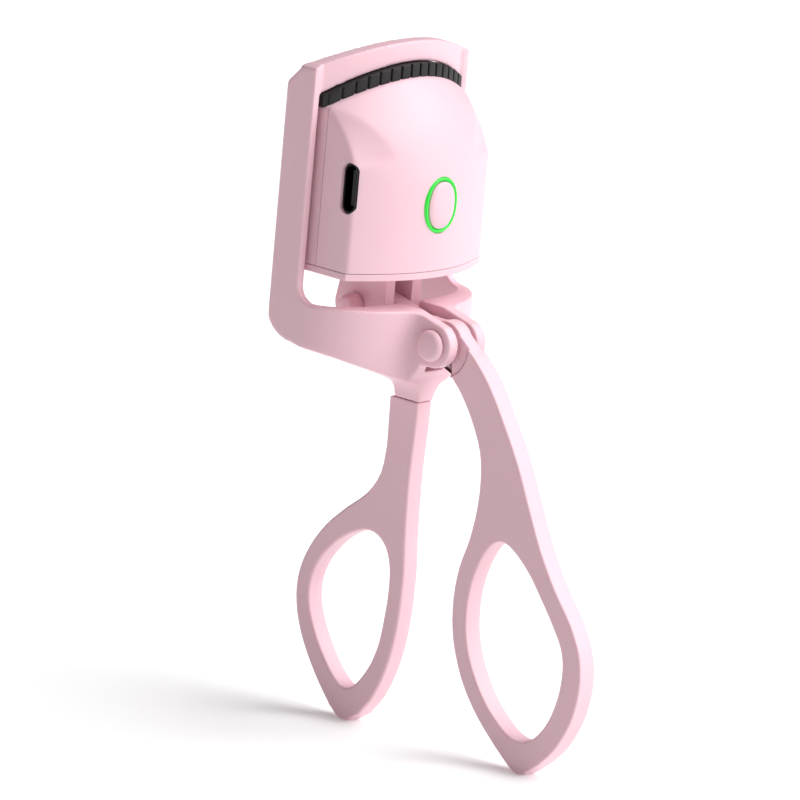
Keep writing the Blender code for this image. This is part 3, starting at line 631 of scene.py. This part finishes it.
def powerButton():
    work = bmesh.new()
    low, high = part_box("power_button")
    halfWide = ringHalf.x - (light["stroke"] + button["gap"]) * mm
    halfHigh = ringHalf.z - (light["stroke"] + button["gap"]) * mm
    depth = button["depth"] * mm

    def shape(k, j):
        angle = 2 * math.pi * k / button["around"]
        if j == 0:
            point = ovalPoint(angle, halfWide, halfHigh, light["fullness"])
            return point + Vector((0, low.y + depth, buttonMiddle.z))
        # a shallow dome that rolls over at its rim
        share = 1 - (j - 1) / (button["rings"] - 1)
        fall = button["dome"] * mm * (0.55 * share ** 2 + 0.45 * share ** 10)
        point = ovalPoint(angle, halfWide * share, halfHigh * share, light["fullness"])
        return point + Vector((0, low.y + fall, buttonMiddle.z))

    bentGrid(work, button["around"], button["rings"], shape)
    bmesh.ops.remove_doubles(work, verts=work.verts, dist=0.003 * mm)
    rim = [edge for edge in work.edges if edge.is_boundary]
    bmesh.ops.holes_fill(work, edges=rim)
    length = high.y - low.y - depth + 0.2 * mm
    stand = (Matrix.Translation((0, high.y - length / 2, buttonMiddle.z))
             @ Matrix.Rotation(math.radians(90), 4, "X"))
    bmesh.ops.create_cone(work, cap_ends=True, segments=24, radius1=button["stem"] * mm,
                          radius2=button["stem"] * mm, depth=length, matrix=stand)
    bmesh.ops.recalc_face_normals(work, faces=work.faces)
    return addPiece("powerButton", work, "pink", "button", ("power_button",), 40)


lightRing()
powerButton()
print("comb, light and button made")


studio = {"floorSize": 8.0, "floorTone": 0.92, "floorGlow": 0.2, "skyStrength": 0.13,
          "sunStrength": 3.5, "sunSpread": 62, "sunTilt": 36, "sunTurn": 38, "softbox": 4.6,
          "softboxAt": (0.5, -1.0, 0.3), "softboxSize": 1.1}


def makeStudio():
    work = bmesh.new()
    bmesh.ops.create_grid(work, x_segments=2, y_segments=2, size=studio["floorSize"] / 2)
    mesh = bpy.data.meshes.new("floor")
    work.to_mesh(mesh)
    work.free()
    floor = bpy.data.objects.new("floor", mesh)
    bpy.context.scene.collection.objects.link(floor)
    tone = studio["floorTone"]
    paper = newMaterial("Studio paper", (tone, tone, tone), 0.9, Emission_Color=(1, 1, 1, 1),
                        Emission_Strength=studio["floorGlow"])[0]
    mesh.materials.append(paper)
    world = bpy.data.worlds.new("Studio")
    bpy.context.scene.world = world
    world.use_nodes = True
    back = world.node_tree.nodes["Background"]
    back.inputs["Color"].default_value = (1, 1, 1, 1)
    back.inputs["Strength"].default_value = studio["skyStrength"]


def areaLight(name, spot, target, size, power):
    lamp = bpy.data.lights.new(name, "AREA")
    lamp.shape = "DISK"
    lamp.size = size
    lamp.energy = power
    obj = bpy.data.objects.new(name, lamp)
    obj.location = spot
    obj.rotation_mode = "QUATERNION"
    obj.rotation_quaternion = (Vector(target) - Vector(spot)).to_track_quat("-Z", "Y")
    bpy.context.scene.collection.objects.link(obj)


def makeLights():
    target = (0, 0, 0.06)
    areaLight("front softbox", studio["softboxAt"], target, studio["softboxSize"], studio["softbox"])
    sun = bpy.data.lights.new("window", "SUN")
    sun.energy, sun.angle = studio["sunStrength"], math.radians(studio["sunSpread"])
    obj = bpy.data.objects.new("window", sun)
    obj.rotation_euler = (math.radians(studio["sunTilt"]), 0, math.radians(studio["sunTurn"]))
    bpy.context.scene.collection.objects.link(obj)


def makeCamera():
    view = {"azimuth": -48.0, "elevation": 12.75, "roll": 5.02, "distance": 2.5, "lens": 655.3}
    aim = Vector((-0.00562, 0.00547 + hingeY, 0.05972))
    az, el = math.radians(view["azimuth"]), math.radians(view["elevation"])
    back = Vector((math.sin(az) * math.cos(el), -math.cos(az) * math.cos(el), math.sin(el)))
    camera = bpy.data.cameras.new("camera")
    camera.lens = view["lens"]
    camera.clip_start, camera.clip_end = 0.1, 20
    obj = bpy.data.objects.new("camera", camera)
    turn = (-back).to_track_quat("-Z", "Y").to_matrix().to_4x4()
    lean = Matrix.Rotation(math.radians(view["roll"]), 4, "Z")
    obj.matrix_world = Matrix.Translation(aim + back * view["distance"]) @ turn @ lean
    bpy.context.scene.collection.objects.link(obj)
    bpy.context.scene.camera = obj


makeStudio()
makeLights()
makeCamera()
bpy.context.scene.view_settings.view_transform = "Standard"
print("studio ready")
